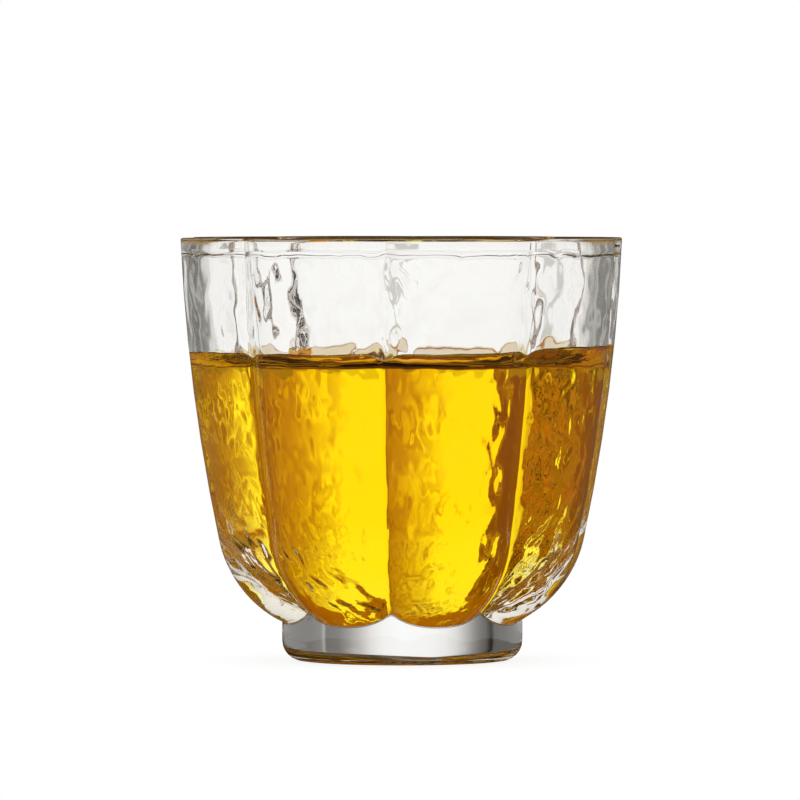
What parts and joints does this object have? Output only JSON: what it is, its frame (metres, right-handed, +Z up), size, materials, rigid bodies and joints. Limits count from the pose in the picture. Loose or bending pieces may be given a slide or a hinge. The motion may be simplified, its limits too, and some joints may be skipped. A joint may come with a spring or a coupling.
{
  "type": "glass teacup",
  "caption": "Handleless lobed glass teacup with a hammered inside and a round clear foot, part filled with amber tea.",
  "frame": {"origin": "centre of the foot's contact ring, on the surface that the cup stands on", "axes": "+Z up along the cup's axis, out of its mouth; a groove between two lobes lies on +X"},
  "size_m": [0.0716, 0.0716, 0.07],
  "materials": {
    "clear_glass": "clear glass, fire-polished outside and on the foot, hammered inside the bowl",
    "tea": "clear amber liquid with a level surface"
  },
  "bodies": {
    "root": {"bowl": "clear_glass", "foot": "clear_glass", "tea": "tea"}
  },
  "joints": []
}
